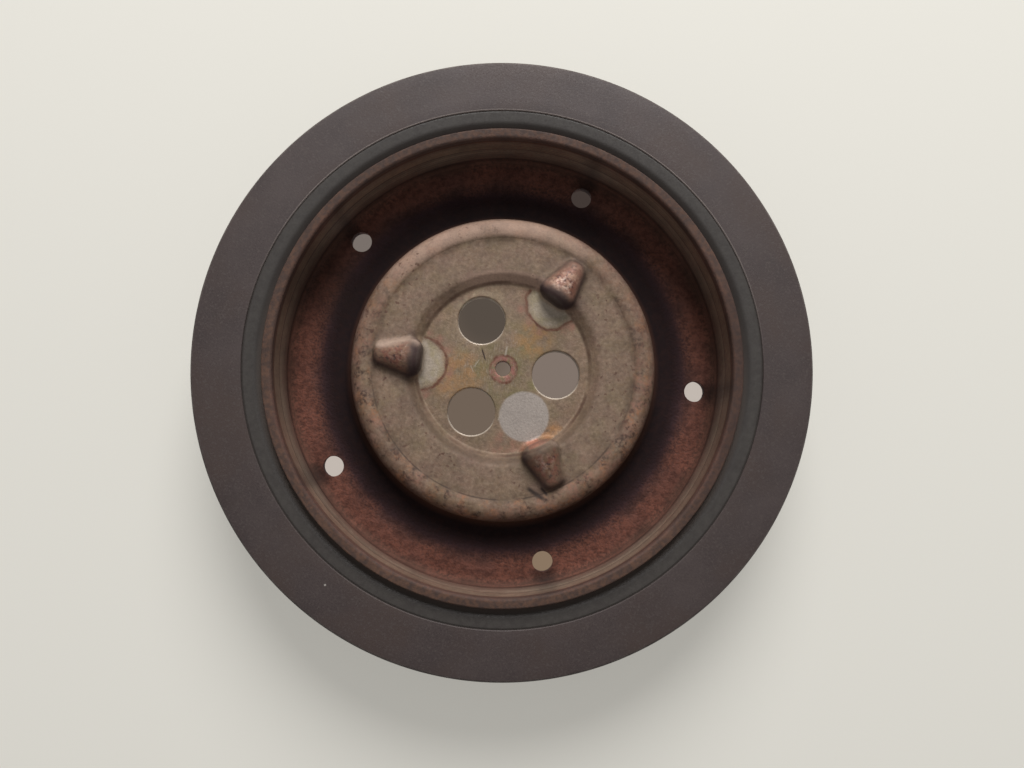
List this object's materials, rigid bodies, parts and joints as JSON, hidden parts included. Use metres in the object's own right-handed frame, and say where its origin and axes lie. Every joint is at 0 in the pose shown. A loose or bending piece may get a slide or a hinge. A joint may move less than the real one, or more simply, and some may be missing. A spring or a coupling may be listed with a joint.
{
  "type": "harmonic balancer",
  "caption": "Crankshaft vibration damper: pressed steel hub, bonded elastomer band and heavy grooved pulley ring.",
  "frame": {"origin": "centre of the bolt circle, in the plane of the face that is clamped to the crank", "axes": "+Z along the axis of rotation, out of the clamped face towards the crank; one bolt hole on +X"},
  "size_m": [0.15, 0.15, 0.0276],
  "materials": {
    "hub_steel": "bare pressed steel with rust",
    "band_rubber": "matt",
    "ring_iron": "dark phosphated, matt"
  },
  "bodies": {
    "root": {"hub": "hub_steel", "rubber_band": "band_rubber", "inertia_ring": "ring_iron"}
  },
  "joints": []
}
